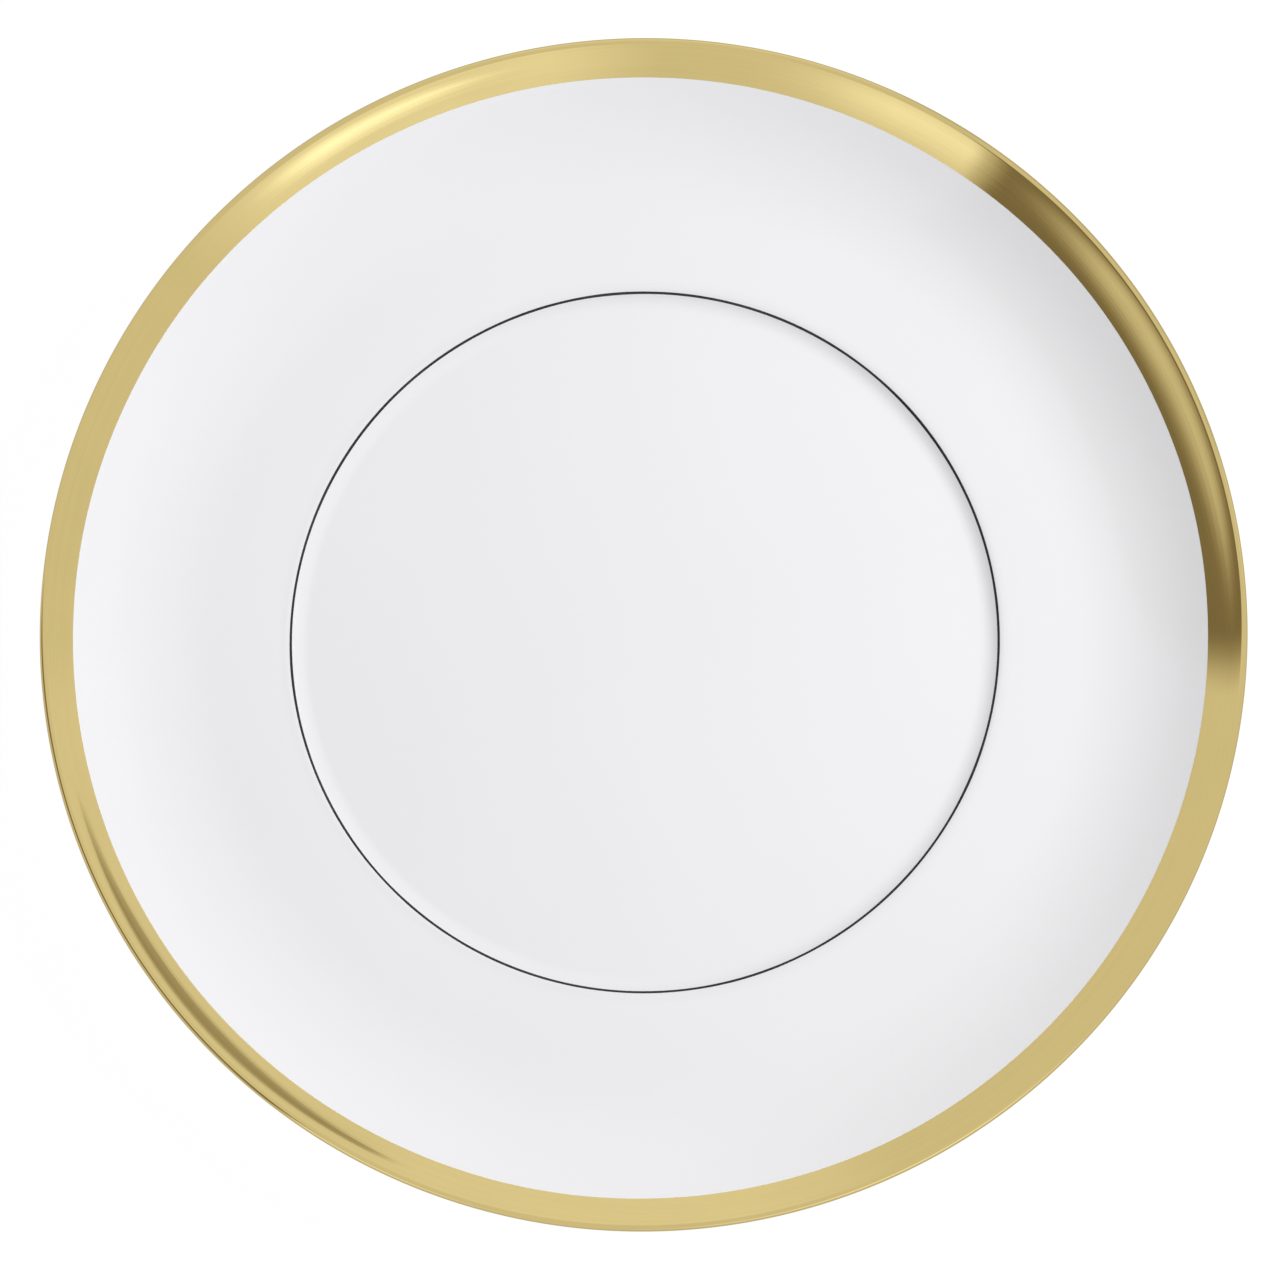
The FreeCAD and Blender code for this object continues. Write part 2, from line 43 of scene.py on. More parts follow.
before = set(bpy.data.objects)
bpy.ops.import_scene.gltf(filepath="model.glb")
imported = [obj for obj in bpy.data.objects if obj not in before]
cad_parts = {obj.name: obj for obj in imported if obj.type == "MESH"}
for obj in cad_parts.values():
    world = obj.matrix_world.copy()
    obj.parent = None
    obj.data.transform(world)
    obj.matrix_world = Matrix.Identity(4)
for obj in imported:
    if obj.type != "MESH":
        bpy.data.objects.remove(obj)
CAD_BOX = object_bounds()

MM = 0.001
AROUND = 512            # steps round the plate
FLAT_STEP = 5.0         # longest step along a straight part of the section
TURN_STEP = 2.5         # largest turn between two points of a curved part, degrees
CREASE = 40.0           # edges that turn more degrees than this are left sharp

# The glazed plate. Slopes are in degrees.
PLATE_RADIUS = 135.0    # outermost, on the gilded lip
FLOOR_HEIGHT = 6.9      # the flat the food sits on
FLOOR_RADIUS = 75.5     # edge of that flat
HOLLOW_RADIUS = 7.1     # hollow at the foot of the step round the well
VERGE_SLOPE = 30.5      # the steepest the step gets
ROUND_RADIUS = 4.0      # rounding at the top of the step
SHELF_SLOPE = 3.5       # the shelf between the step and the coupe
COUPE_INSET = 41.1      # from the plate's edge in to the coupe curve's centre
COUPE_RADIUS = 58.5     # upward curve of the face
COUPE_SLOPE = 29.0      # where that curve ends
RIM_RADIUS = 113.0      # gentler curve from there on
RIM_SLOPE = 34.5        # the steepest the rim gets
ROLL_RADIUS = 80.0      # easing over from there to the lip
LIP_RADIUS = 1.0        # roundness of the lip, gilding included
BACK_SLOPE = 36.5       # the back just inside the lip
BACK_RADIUS = 72.0      # upward curve of the back
BACK_HEIGHT = 4.0       # the back just outside the foot
WELL_BACK_HEIGHT = 2.6  # the back inside the foot
FOOT_RADIUS = 79.5      # middle of the tread
TREAD_WIDTH = 2.0       # flat, bare tread
TREAD_ROUND = 0.8       # rounding at both edges of the tread
FOOT_DRAFT = 12.0       # taper of the foot's two sides
FOOT_FILLET = 1.6       # where the foot meets the back
GLAZE = 0.25            # thickness of the glaze
GLAZE_STOP = 1.0        # height at which it ends on the foot
GILDING = 0.15          # thickness of the gilding at its outer end
BAND_WIDTH = 8.0        # of the gilding, seen from above
LINE_OUTSET = 4.0       # from the edge of the flat out to the line's middle
LINE_WIDTH = 0.60       # of the enamel line


# ---------------------------------------------------------------- the section

HALVINGS = 40           # rounds of the search for a radius


class Path:
    """A run of lines and arcs, each going on from the last without a corner.

    Points are (radius, height), and headings are in degrees.
    """

    def __init__(self, radius, height, heading):
        self.parts = []
        self.joins = [0.0]
        self.marks = {}
        self.end = (radius, height, heading)

    def add(self, length, bend):
        self.parts.append((self.joins[-1], length, bend) + self.end)
        self.joins.append(self.joins[-1] + length)
        self.end = self.at(self.joins[-1])

    def mark(self, name):
        """Name the distance that the path has reached."""
        self.marks[name] = self.joins[-1]

    def line(self, length):
        self.add(length, 0.0)

    def line_out_to(self, radius):
        self.line((radius - self.end[0]) / math.cos(math.radians(self.end[2])))

    def arc(self, radius, turn):
        """Turn left by a positive number of degrees, or right by a negative one."""
        self.add(abs(math.radians(turn)) * radius, math.copysign(1.0 / radius, turn))

    def at(self, way):
        """(radius, height, heading) at a distance along the path."""
        part = self.parts[0]
        for later in self.parts[1:]:
            if later[0] > way:
                break
            part = later
        start, _, bend, radius, height, heading = part
        run = way - start
        turn = math.radians(heading)
        if bend == 0.0:
            return radius + run * math.cos(turn), height + run * math.sin(turn), heading
        turned = turn + bend * run
        radius += (math.sin(turned) - math.sin(turn)) / bend
        height -= (math.cos(turned) - math.cos(turn)) / bend
        return radius, height, math.degrees(turned)

    def off(self, way, rise):
        """(radius, height) at a distance along the path, lifted off its left side."""
        radius, height, heading = self.at(way)
        turn = math.radians(heading)
        return radius - rise * math.sin(turn), height + rise * math.cos(turn)

    def all_off(self, ways, rise):
        """The points at all these distances, lifted alike."""
        return [self.off(way, rise) for way in ways]

    def way_to_radius(self, wanted, low, high):
        """The distance at which the path reaches a radius, on an outward stretch."""
        for _ in range(HALVINGS):
            middle = (low + high) / 2
            if self.at(middle)[0] < wanted:
                low = middle
            else:
                high = middle
        return low

    def stops(self, start, end):
        """Distances from start to end, close together where the path bends."""
        ways = [start]
        for first, length, bend, *_ in self.parts:
            low = max(start, first)
            high = min(end, first + length)
            if high <= low:
                continue
            turn = abs(math.degrees(bend)) * (high - low)
            count = math.ceil(max((high - low) / FLAT_STEP, turn / TURN_STEP))
            ways += [low + (high - low) * (i + 1) / count for i in range(count)]
        return ways


def add_face(path):
    """The well's flat, the step round it, the shelf, the coupe and the rim."""
    path.line(FLOOR_RADIUS)
    path.arc(HOLLOW_RADIUS, VERGE_SLOPE)
    path.arc(ROUND_RADIUS, SHELF_SLOPE - VERGE_SLOPE)
    path.mark("shelf")
    coupe_start = COUPE_RADIUS * math.sin(math.radians(SHELF_SLOPE))
    path.line_out_to(PLATE_RADIUS - COUPE_INSET + coupe_start)
    path.arc(COUPE_RADIUS, COUPE_SLOPE - SHELF_SLOPE)
    path.mark("rim")
    path.arc(RIM_RADIUS, RIM_SLOPE - COUPE_SLOPE)
    path.mark("roll")


def add_lip(path):
    """The rim easing over, and the round lip."""
    lip_radius = LIP_RADIUS - GILDING
    roll_centre = path.off(path.joins[-1], -ROLL_RADIUS)[0]
    lip_centre = PLATE_RADIUS - LIP_RADIUS
    lean = (roll_centre - lip_centre) / (ROLL_RADIUS - lip_radius)
    lip_slope = math.degrees(math.asin(lean))
    path.arc(ROLL_RADIUS, lip_slope - RIM_SLOPE)
    path.mark("lip")
    path.arc(lip_radius, BACK_SLOPE - 180.0 - lip_slope)
    path.mark("back")


def foot_side(back_height):
    """(how far apart, how long) the foot's fillet and tread rounding and their side.

    The height is that of the back which the fillet runs into.
    """
    drop = back_height - FOOT_FILLET - TREAD_ROUND
    draft = math.radians(FOOT_DRAFT)
    reach = TREAD_ROUND + GLAZE + FOOT_FILLET
    spread = (reach + drop * math.sin(draft)) / math.cos(draft)
    return spread, spread * math.sin(draft) + drop * math.cos(draft)


def add_back(path):
    """The back, from the lip in to the foot."""
    slope = math.radians(BACK_SLOPE)
    fall = path.end[1] - BACK_HEIGHT - BACK_RADIUS * (1 - math.cos(slope))
    path.line(fall / math.sin(slope))
    path.arc(BACK_RADIUS, -BACK_SLOPE)
    spread, _ = foot_side(BACK_HEIGHT)
    path.line(path.end[0] - (FOOT_RADIUS + TREAD_WIDTH / 2 + spread))


def add_foot(path):
    """The foot ring, and the back inside it. Under the bare tread the path runs
    on where glaze would lie."""
    _, outer_side = foot_side(BACK_HEIGHT)
    _, inner_side = foot_side(WELL_BACK_HEIGHT)
    path.arc(FOOT_FILLET, 90.0 - FOOT_DRAFT)
    path.mark("outer_side")
    path.line(outer_side)
    path.arc(TREAD_ROUND + GLAZE, FOOT_DRAFT - 90.0)
    path.line(TREAD_WIDTH)
    path.arc(TREAD_ROUND + GLAZE, FOOT_DRAFT - 90.0)
    path.mark("inner_side")
    path.line(inner_side)
    path.arc(FOOT_FILLET, 90.0 - FOOT_DRAFT)
    path.line(path.end[0])


def glaze_section():
    """The glaze's surface, from the middle of the face over the lip to the middle
    of the back."""
    path = Path(0.0, FLOOR_HEIGHT, 0.0)
    add_face(path)
    add_lip(path)
    add_back(path)
    add_foot(path)
    path.mark("end")
    return path


SECTION = glaze_section()


# ------------------------------------------------------------ turning a section

DRIFT_GAIN = 1.6        # brings the noise to about -1 to 1


def drift(angle, seed, size):
    """A slow, seamless wander round the plate, about -1 to 1."""
    spot = Vector((math.cos(angle) * size, math.sin(angle) * size, seed))
    return noise.noise(spot) * DRIFT_GAIN


def ring_at(angle, outline):
    """The outline's points at an angle round the plate, in metres."""
    return [Vector((radius * math.cos(angle), radius * math.sin(angle), height)) * MM
            for radius, height in outline(angle)]


def turn_piece(name, outline, closed):
    """Turn an outline about the z axis into a mesh object.

    outline(angle) gives the (radius, height) points at that angle, in mm. A closed
    outline is a ring's; an open one starts and ends on the axis.
    """
    mesh = bmesh.new()
    rings = [ring_at(2 * math.pi * step / AROUND, outline) for step in range(AROUND)]
    count = len(rings[0])
    inner = range(count) if closed else range(1, count - 1)
    grid = [{i: mesh.verts.new(ring[i]) for i in inner} for ring in rings]
    if not closed:
        for i in (0, count - 1):
            pole = mesh.verts.new(rings[0][i])
            for column in grid:
                column[i] = pole
    last = count if closed else count - 1
    for here, there in zip(grid, grid[1:] + grid[:1]):
        for i in range(last):
            after = (i + 1) % count
            corners = [here[i], there[i], there[after], here[after]]
            mesh.faces.new(list(dict.fromkeys(corners)))
    return finish_mesh(name, mesh)


def finish_mesh(name, mesh):
    bmesh.ops.recalc_face_normals(mesh, faces=mesh.faces)
    for face in mesh.faces:
        face.smooth = True
    for edge in mesh.edges:
        edge.smooth = edge.calc_face_angle(0.0) < math.radians(CREASE)
    data = bpy.data.meshes.new(name)
    mesh.to_mesh(data)
    mesh.free()
    piece = bpy.data.objects.new(name, data)
    bpy.context.scene.collection.objects.link(piece)
    return piece


# ------------------------------------------------------------------ the pieces

SINK = 0.04             # how far each coat reaches into what it lies on
BEAD_LENGTH = 0.7       # over which the glaze thins to its edge on the foot
BEAD_WANDER = 0.12      # how far that edge wanders up and down
BEAD_STEPS = 12         # points towards that edge


def make_body():
    """The fired body, one glaze thickness below the section everywhere."""
    ways = SECTION.stops(0.0, SECTION.marks["end"])
    outline = SECTION.all_off(ways, -GLAZE)
    return turn_piece("china_body", lambda angle: outline, closed=False)


def stop_way(start, edge_height):
    """Where the section passes a height on a side of the foot."""
    _, height, heading = SECTION.at(start)
    return start + (edge_height - height) / math.sin(math.radians(heading))


def bead_ways(start, edge):
    """Even distances from after the start up to the glaze's edge."""
    return [start + (edge - start) * (i + 1) / BEAD_STEPS for i in range(BEAD_STEPS)]


def bead_points(ways, edge):
    """The glaze's surface where it thins to its edge."""
    points = []
    for way in ways:
        near = min(abs(edge - way) / BEAD_LENGTH, 1.0)
        share = math.sqrt(1.0 - (1.0 - near) ** 2)
        points.append(SECTION.off(way, GLAZE * (share - 1)))
    return points


def make_face_glaze():
    """The glaze over the face, round the lip and down the foot's outer side."""
    nominal = stop_way(SECTION.marks["outer_side"], GLAZE_STOP)
    fixed = SECTION.stops(0.0, nominal - 2 * BEAD_LENGTH)

    def outline(angle):
        edge = nominal + BEAD_WANDER * drift(angle, seed=3.0, size=2.5)
        ways = bead_ways(fixed[-1], edge)
        top = SECTION.all_off(fixed, 0.0) + bead_points(ways, edge)
        return top + SECTION.all_off(reversed(fixed + ways), -GLAZE - SINK)

    return turn_piece("face_glaze", outline, closed=False)


def make_back_glaze():
    """The glaze inside the foot ring."""
    nominal = stop_way(SECTION.marks["inner_side"], GLAZE_STOP)
    fixed = SECTION.stops(nominal + 2 * BEAD_LENGTH, SECTION.marks["end"])

    def outline(angle):
        edge = nominal + BEAD_WANDER * drift(angle, seed=8.0, size=2.5)
        ways = bead_ways(fixed[0], edge)
        top = SECTION.all_off(reversed(fixed), 0.0) + bead_points(ways, edge)
        return top + SECTION.all_off(ways[::-1] + fixed, -GLAZE - SINK)

    return turn_piece("back_glaze", outline, closed=False)


BAND_STEPS = 64         # points across the gilding, up to the lip
BAND_EDGE = 0.03        # its thickness at its inner edge
BAND_CENTRE = (-0.78, -0.26)    # the circle its inner edge was struck on
BAND_WANDER = 0.06      # and the hand wandered this much from that circle


def make_gilding():
    """The gold band, thin at its inner edge and full on the lip."""
    end = SECTION.marks["back"]
    lip = SECTION.marks["lip"]
    slant = math.cos(math.radians(COUPE_SLOPE))
    nominal = SECTION.way_to_radius(PLATE_RADIUS - BAND_WIDTH,
                                    SECTION.marks["rim"], SECTION.marks["roll"])
    lip_ways = SECTION.stops(lip, end)

    def outline(angle):
        shift = BAND_CENTRE[0] * math.cos(angle) + BAND_CENTRE[1] * math.sin(angle)
        shift += BAND_WANDER * drift(angle, seed=5.0, size=3.0)
        start = nominal + shift / slant
        ways = [start + (lip - start) * i / BAND_STEPS for i in range(BAND_STEPS)]
        ways += lip_ways
        top = []
        for way in ways:
            share = (way - start) / (end - start)
            top.append(SECTION.off(way, BAND_EDGE + (GILDING - BAND_EDGE) * share))
        return top + SECTION.all_off(reversed(ways), -SINK)

    return turn_piece("gold_band", outline, closed=True)


LINE_STEPS = 8          # points across the line
LINE_FILM = 0.0075      # thickness of the enamel at the line's edges
LINE_DOME = 0.05        # how much thicker it is in the middle
LINE_WANDER = 0.05      # of its place
LINE_VARIES = 0.10      # of its width


def make_line():
    """The enamel line round the well, a low dome of colour."""
    middle = SECTION.way_to_radius(FLOOR_RADIUS + LINE_OUTSET, FLOOR_RADIUS,
                                   SECTION.marks["shelf"])
    across = [2 * i / LINE_STEPS - 1 for i in range(LINE_STEPS + 1)]

    def outline(angle):
        centre = middle + LINE_WANDER * drift(angle, seed=11.0, size=2.0)
        half = LINE_WIDTH / 2 * (1 + LINE_VARIES * drift(angle, seed=14.0, size=6.0))
        top = [SECTION.off(centre + half * share,
                           LINE_FILM + LINE_DOME * (1 - share ** 2))
               for share in across]
        ways = [centre + half * share for share in reversed(across)]
        return top + SECTION.all_off(ways, -SINK)

    return turn_piece("well_line_enamel", outline, closed=True)


# --------------------------------------------------------------- the materials

class Tree:
    """A node tree, with short names for what the materials and the light need."""

    def __init__(self, tree):
        self.tree = tree

    def add(self, kind, **settings):
        node = self.tree.nodes.new(kind)
        for key, value in settings.items():
            setattr(node, key, value)
        return node

    def feed(self, value, socket):
        """Put a number, a colour or another node's output into a socket."""
        if isinstance(value, bpy.types.NodeSocket):
            self.tree.links.new(value, socket)
        else:
            socket.default_value = value

    def maths(self, operation, *values):
        node = self.add("ShaderNodeMath", operation=operation)
        for value, socket in zip(values, node.inputs):
            self.feed(value, socket)
        return node.outputs[0]

    def combine(self, *values):
        """Three numbers as one vector."""
        node = self.add("ShaderNodeCombineXYZ")
        for value, socket in zip(values, node.inputs):
            self.feed(value, socket)
        return node.outputs[0]

    def remap(self, value, low, high, out_low=0.0, out_high=1.0):
        """A smooth step from out_low, at low, to out_high, at high."""
        node = self.add("ShaderNodeMapRange", interpolation_type="SMOOTHSTEP")
        for key, number in (("Value", value), ("From Min", low), ("From Max", high),
                            ("To Min", out_low), ("To Max", out_high)):
            self.feed(number, node.inputs[key])
        return node.outputs["Result"]


class Look(Tree):
    """A new material."""

    def __init__(self, name):
        self.material = bpy.data.materials.new(name)
        self.material.use_nodes = True
        super().__init__(self.material.node_tree)
        self.shader = self.tree.nodes["Principled BSDF"]

    def give(self, key, value):
        """Settle one of the shader's own inputs."""
        self.feed(value, self.shader.inputs[key])

    def place(self):
        """The point on the piece, in metres, in the plate's own frame."""
        return self.add("ShaderNodeTexCoord").outputs["Object"]

    def polar(self):
        """(radius, angle / pi, height) of the point on the piece."""
        parts = self.add("ShaderNodeSeparateXYZ")
        self.feed(self.place(), parts.inputs[0])
        along_x, along_y, height = parts.outputs
        length = self.add("ShaderNodeVectorMath", operation="LENGTH")
        self.feed(self.combine(along_x, along_y), length.inputs[0])
        angle = self.maths("ARCTAN2", along_y, along_x)
        return length.outputs["Value"], self.maths("DIVIDE", angle, math.pi), height

    def noise(self, vector, scale, detail, rough=0.5):
        node = self.add("ShaderNodeTexNoise")
        for key, value in (("Vector", vector), ("Scale", scale),
                           ("Detail", detail), ("Roughness", rough)):
            self.feed(value, node.inputs[key])
        return node.outputs["Fac"]

    def ramp(self, value, stops):
        """Colours by a value, from (place, colour) stops."""
        node = self.add("ShaderNodeValToRGB")
        points = node.color_ramp.elements
        while len(points) < len(stops):
            points.new(1.0)
        for point, (place, colour) in zip(points, stops):
            point.position = place
            point.color = (*colour, 1.0)
        self.feed(value, node.inputs["Fac"])
        return node.outputs["Color"]

    def blend(self, share, colour, other):
        """A colour going over to another, plain one."""
        node = self.add("ShaderNodeMix", data_type="RGBA")
        self.feed(share, node.inputs[0])
        self.feed(colour, node.inputs[6])
        self.feed((*other, 1.0), node.inputs[7])
        return node.outputs[2]

    def bump(self, height, distance):
        node = self.add("ShaderNodeBump")
        self.feed(distance, node.inputs["Distance"])
        self.feed(height, node.inputs["Height"])
        self.give("Normal", node.outputs["Normal"])


def shade(colour, share):
    return tuple(part * share for part in colour)


GLAZE_WHITE = (0.859, 0.864, 0.895)
GLAZE_CLOUD = 0.008     # how much paler or darker than that the glaze gets, as a share
# painted shade: a darker glaze colour for a ring round the step at the line, standing in
# for the shade that falls on the step
GLAZE_STEP_SHADE = (0.819, 0.825, 0.857)
STEP_SHADE_START = 0.0765     # metres from the middle: where the painted shade round the step starts,
STEP_SHADE_DARKEST = 0.0795   # is darkest, against the line,
STEP_SHADE_END = 0.0828       # and has gone
GLAZE_ROUGH = (0.05, 0.11)      # least and most
GLAZE_IOR = 1.52
GLAZE_COAT = 0.25       # weight of the clear coat over the colour
GLAZE_COAT_ROUGH = 0.04
GLAZE_RIPPLE = 0.00001  # height of its ripples, metres


def glaze_material():
    """White china under clear glaze: even, with painted shade darkening it in a ring round
    the step at the line.
    """
    look = Look("white_glaze")
    place = look.place()
    radius, _, _ = look.polar()
    colour = look.ramp(look.noise(place, scale=14.0, detail=3.0), [
        (0.25, shade(GLAZE_WHITE, 1.0 - GLAZE_CLOUD)),
        (0.75, shade(GLAZE_WHITE, 1.0 + GLAZE_CLOUD)),
    ])
    # painted shade: the glaze colour goes darker in a ring round the step at the line
    step_shade = look.maths("MULTIPLY", look.remap(radius, STEP_SHADE_START, STEP_SHADE_DARKEST),
                        look.remap(radius, STEP_SHADE_DARKEST, STEP_SHADE_END, 1.0, 0.0))
    look.give("Base Color", look.blend(step_shade, colour, GLAZE_STEP_SHADE))
    smears = look.noise(place, scale=55.0, detail=4.0)
    look.give("Roughness", look.remap(smears, 0.3, 0.7, *GLAZE_ROUGH))
    look.give("IOR", GLAZE_IOR)
    look.give("Coat Weight", GLAZE_COAT)
    look.give("Coat Roughness", GLAZE_COAT_ROUGH)
    look.bump(look.noise(place, scale=90.0, detail=1.5), GLAZE_RIPPLE)
    return look.material


GOLD = (0.93, 0.740, 0.308)
GOLD_THIN = 0.955       # how dark the gold is where it lies thinnest
GOLD_THICK = 1.03       # and how bright where it lies thickest
GOLD_ROUGH = (0.035, 0.075)     # least and most
GOLD_RIPPLE = 0.000003  # height of the brush marks, metres
STROKES_ACROSS = 4000.0         # how closely they lie, per metre across the band
STROKES_ROUND = 7.0     # and how often they change, per half turn round it
STROKES_SHARE = 0.6     # how much of the gold's unevenness is theirs


def gold_material():
    """Burnished gold, laid with a brush while the plate spun on a wheel."""
    look = Look("fired_gold")
    radius, angle, height = look.polar()
    strokes = look.combine(look.maths("MULTIPLY", radius, STROKES_ACROSS),
                           look.maths("MULTIPLY", angle, STROKES_ROUND),
                           look.maths("MULTIPLY", height, STROKES_ACROSS))
    brush = look.noise(strokes, scale=0.55, detail=4.0, rough=0.55)
    cloud = look.noise(look.place(), scale=60.0, detail=3.0)
    thickness = look.maths("ADD", look.maths("MULTIPLY", brush, STROKES_SHARE),
                           look.maths("MULTIPLY", cloud, 1.0 - STROKES_SHARE))
    colour = look.ramp(thickness, [
        (0.30, shade(GOLD, GOLD_THIN)),
        (0.50, GOLD),
        (0.70, shade(GOLD, GOLD_THICK)),
    ])
    look.give("Base Color", colour)
    look.give("Metallic", 1.0)
    look.give("Roughness", look.remap(brush, 0.25, 0.75, *GOLD_ROUGH))
    look.bump(brush, GOLD_RIPPLE)
    return look.material


ENAMEL_THIN = (0.030, 0.029, 0.028)
ENAMEL_DENSE = (0.014, 0.014, 0.015)
ENAMEL_ROUGH = (0.32, 0.18)     # where it is thin, and where dense
ENAMEL_RIPPLE = 0.00001         # metres


def enamel_material():
    """Black enamel, denser where the brush was full."""
    look = Look("black_enamel")
    place = look.place()
    dense = look.noise(place, scale=35.0, detail=4.0)
    look.give("Base Color", look.ramp(dense, [(0.30, ENAMEL_THIN), (0.55, ENAMEL_DENSE)]))
    look.give("Roughness", look.remap(dense, 0.3, 0.7, *ENAMEL_ROUGH))
    look.bump(look.noise(place, scale=900.0, detail=3.0), ENAMEL_RIPPLE)
    return look.material


BISQUE_DARK = (0.74, 0.725, 0.69)
BISQUE_LIGHT = (0.81, 0.80, 0.765)
BISQUE_RUBBED = (0.50, 0.49, 0.47)
BISQUE_ROUGH = (0.62, 0.82)     # least and most
BISQUE_GRAIN = 0.00003  # height of the grain, metres
RUBBED_LOW = 0.00005    # metres up: it is rubbed most up to here,
RUBBED_HIGH = 0.0005    # and not at all from here on
RUBBED_MOST = 0.55      # how far it goes over to the rubbed colour


def bisque_material():
    """Bare fired china: matt, fine-grained, greyed where the tread has rubbed."""
    look = Look("bare_china")
    place = look.place()
    grain = look.noise(place, scale=2600.0, detail=5.0, rough=0.65)
    patches = look.noise(place, scale=70.0, detail=5.0, rough=0.6)
    clean = look.ramp(grain, [(0.30, BISQUE_DARK), (0.70, BISQUE_LIGHT)])
    _, _, height = look.polar()
    low = look.remap(height, RUBBED_LOW, RUBBED_HIGH, 1.0, 0.0)
    rubbed = look.maths("MULTIPLY", look.remap(patches, 0.45, 0.65, 0.0, RUBBED_MOST), low)
    look.give("Base Color", look.blend(rubbed, clean, BISQUE_RUBBED))
    look.give("Roughness", look.remap(grain, 0.3, 0.7, *BISQUE_ROUGH))
    look.bump(grain, BISQUE_GRAIN)
    return look.material


# -------------------------------------------------------------------- the studio

TENT = 0.655            # the pale tent all round, as the plate sees it
BACKDROP = 0.995        # and as the camera sees it
TABLE = 0.56            # what lies below the plate's own level, as the plate sees it
TABLE_DEPTH = 0.20      # how far down that tone is full
COOLING = (0.12, 0.36)  # how fast green and blue gain on red as the light gets brighter
FRONT = 0.01            # least part of a way that must lie towards a panel to meet it

# Flat panels standing round the plate, far off, painted over the tent in turn. Each
# faces the plate from a bearing. "along" and "up" say where on the panel its tone
# starts to show, is full, is last full and has gone, in panel distances from the
# point straight ahead, and "lean" is how steeply its top and bottom rise along it.
PANELS = [
    dict(name="right_card", bearing=30.0, tone=0.71, lean=0.0,
         along=(-0.40, -0.20, 0.90, 1.20), up=(0.0, 0.1, 0.60, 0.90)),
    dict(name="dark_side", bearing=197.0, tone=0.20, lean=0.0,
         along=(-0.66, -0.50, 0.50, 0.61), up=(0.2, 0.3, 1.6, 2.6)),
    dict(name="grey_card", bearing=197.0, tone=0.61, lean=0.218,
         along=(-0.56, -0.20, 0.16, 0.54), up=(0.0, 0.1, 0.470, 0.590)),
    dict(name="left_window", bearing=240.0, tone=1.00, lean=0.0,
         along=(-0.23, -0.19, -0.05, 0.30), up=(0.2, 0.4, 0.50, 0.85)),
    dict(name="front_window", bearing=304.0, tone=0.82, lean=0.0,
         along=(-0.80, -0.42, 0.12, 0.48), up=(0.2, 0.4, 0.72, 1.10)),
    dict(name="front_lamp", bearing=304.0, tone=1.27, lean=0.0,
         along=(-0.54, -0.12, 0.04, 0.27), up=(0.35, 0.50, 0.58, 0.67)),
    dict(name="dark_edge", bearing=22.0, tone=0.34, lean=0.020,
         along=(0.03, 0.11, 1.02, 1.20), up=(0.0, 0.2, 0.360, 0.379)),
    dict(name="back_card", bearing=88.0, tone=0.75, lean=0.0,
         along=(-0.40, -0.20, 0.20, 0.50), up=(0.0, 0.2, 0.60, 1.60)),
]


class Sky(Tree):
    """The light all round."""

    def __init__(self, name):
        world = bpy.data.worlds.new(name)
        bpy.context.scene.world = world
        world.use_nodes = True
        super().__init__(world.node_tree)
        self.tree.nodes.clear()
        self.way = self.add("ShaderNodeTexCoord").outputs["Generated"]

    def component(self, direction):
        """How much of the light's way lies along a direction."""
        node = self.add("ShaderNodeVectorMath", operation="DOT_PRODUCT")
        self.feed(self.way, node.inputs[0])
        self.feed(direction, node.inputs[1])
        return node.outputs["Value"]

    def between(self, value, stops):
        """0 up to the first stop, 1 from the second to the third, 0 past the last."""
        start, full, last_full, gone = stops
        return self.maths("MULTIPLY", self.remap(value, start, full),
                          self.remap(value, gone, last_full))

    def panel(self, spec):
        """The share of a panel in each way the light can come from."""
        angle = math.radians(spec["bearing"])
        ahead = self.component((math.cos(angle), math.sin(angle), 0.0))
        aside = self.component((-math.sin(angle), math.cos(angle), 0.0))
        front = self.maths("GREATER_THAN", ahead, FRONT)
        distance = self.maths("MAXIMUM", ahead, FRONT)
        across = self.maths("DIVIDE", aside, distance)
        height = self.maths("DIVIDE", self.component((0.0, 0.0, 1.0)), distance)
        height = self.maths("MULTIPLY_ADD", across, -spec["lean"], height)
        share = self.maths("MULTIPLY", self.between(across, spec["along"]),
                           self.between(height, spec["up"]))
        return self.maths("MULTIPLY", share, front)

    def over(self, share, tone, under):
        """A tone over another one, by a share."""
        return self.maths("MULTIPLY_ADD", share, self.maths("SUBTRACT", tone, under), under)

    def light(self, colour):
        node = self.add("ShaderNodeBackground")
        self.feed(colour, node.inputs["Color"])
        return node.outputs[0]

    def tinted(self, tone):
        """Light of this tone, warm where it is dimmer than the tent, else cool."""
        green, blue = (self.maths("MULTIPLY", self.maths("POWER", tone, 1.0 + gain),
                                  TENT ** -gain) for gain in COOLING)
        return self.light(self.combine(tone, green, blue))


def make_world():
    """A pale light tent with its panels; the camera sees it plain."""
    sky = Sky("tent")
    tone = TENT
    for spec in PANELS:
        tone = sky.over(sky.panel(spec), spec["tone"], tone)
        tone.node.label = spec["name"]
    below = sky.remap(sky.component((0.0, 0.0, -1.0)), 0.0, TABLE_DEPTH)
    tone = sky.over(below, TABLE, tone)
    pick = sky.add("ShaderNodeMixShader")
    rays = sky.add("ShaderNodeLightPath")
    sky.feed(rays.outputs["Is Camera Ray"], pick.inputs[0])
    sky.feed(sky.tinted(tone), pick.inputs[1])
    sky.feed(sky.light((BACKDROP, BACKDROP, BACKDROP, 1.0)), pick.inputs[2])
    out = sky.add("ShaderNodeOutputWorld")
    sky.feed(pick.outputs[0], out.inputs[0])


def from_plate(bearing, elevation, distance):
    """The point this many metres from the middle of the plate's foot."""
    angle = math.radians(bearing)
    lift = math.radians(elevation)
    return Vector((math.cos(lift) * math.cos(angle),
                   math.cos(lift) * math.sin(angle),
                   math.sin(lift))) * distance


